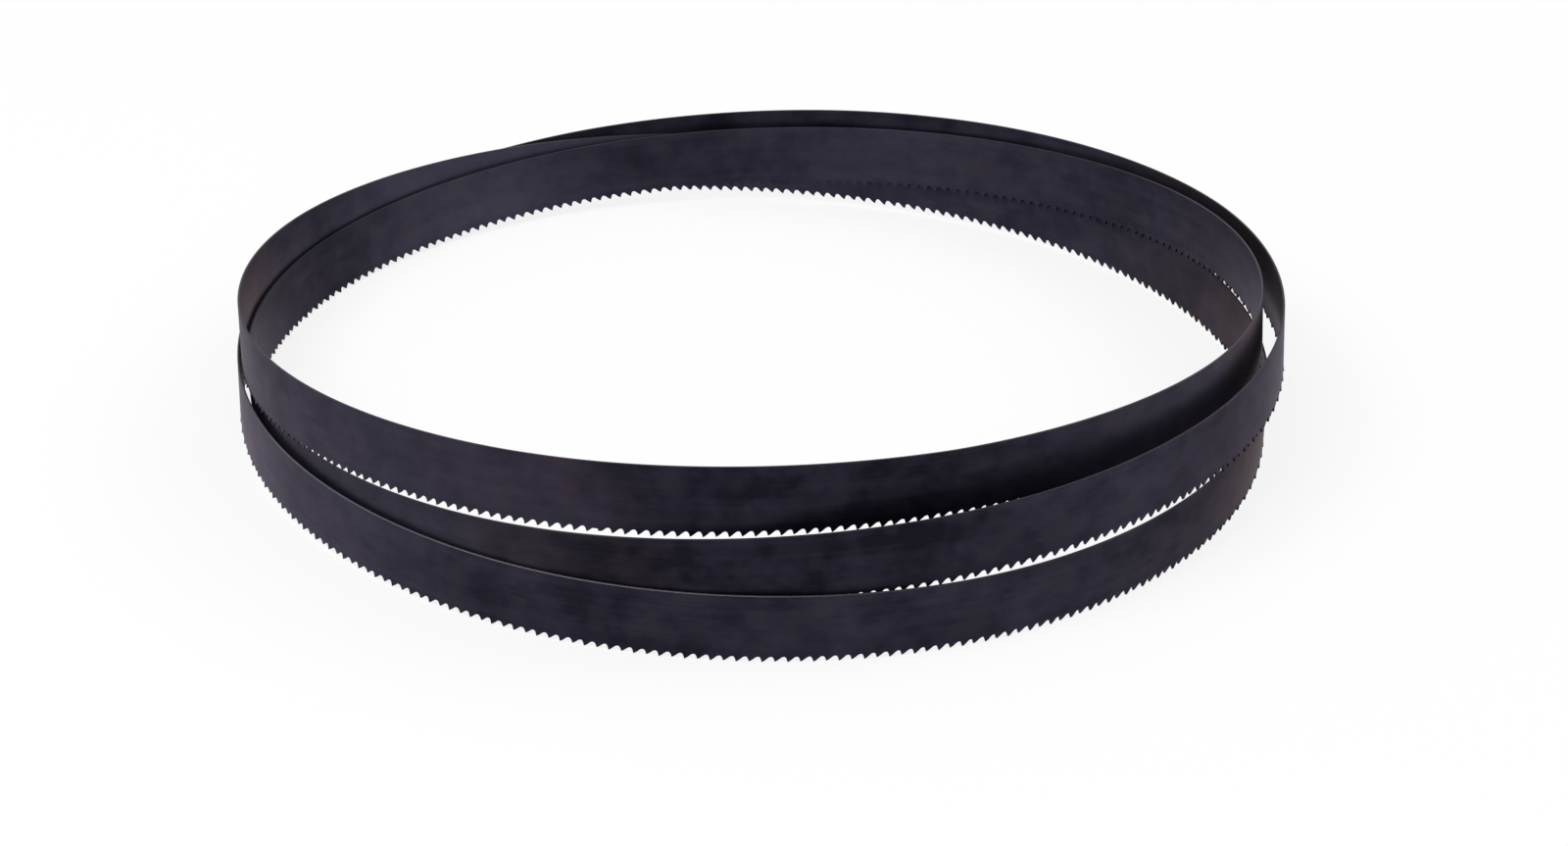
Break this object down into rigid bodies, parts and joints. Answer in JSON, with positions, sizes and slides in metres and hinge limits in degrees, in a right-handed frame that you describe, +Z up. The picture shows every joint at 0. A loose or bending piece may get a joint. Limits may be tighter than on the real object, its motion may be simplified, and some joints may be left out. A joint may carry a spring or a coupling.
{
  "type": "band saw blade",
  "caption": "Endless band of thin steel with a row of saw teeth along one edge, resting in a loose coil of loops, teeth down.",
  "frame": {"origin": "middle of the coil's footprint, at the height of the lowest tooth tips", "axes": "+Z up, from the toothed edge to the back edge of the band; -Y to the side where the turns cross"},
  "size_m": [0.4186, 0.4124, 0.0733],
  "materials": {
    "blade_steel": "dark blue-grey tempered steel, satin"
  },
  "bodies": {
    "root": {"saw_blade": "blade_steel"}
  },
  "joints": []
}
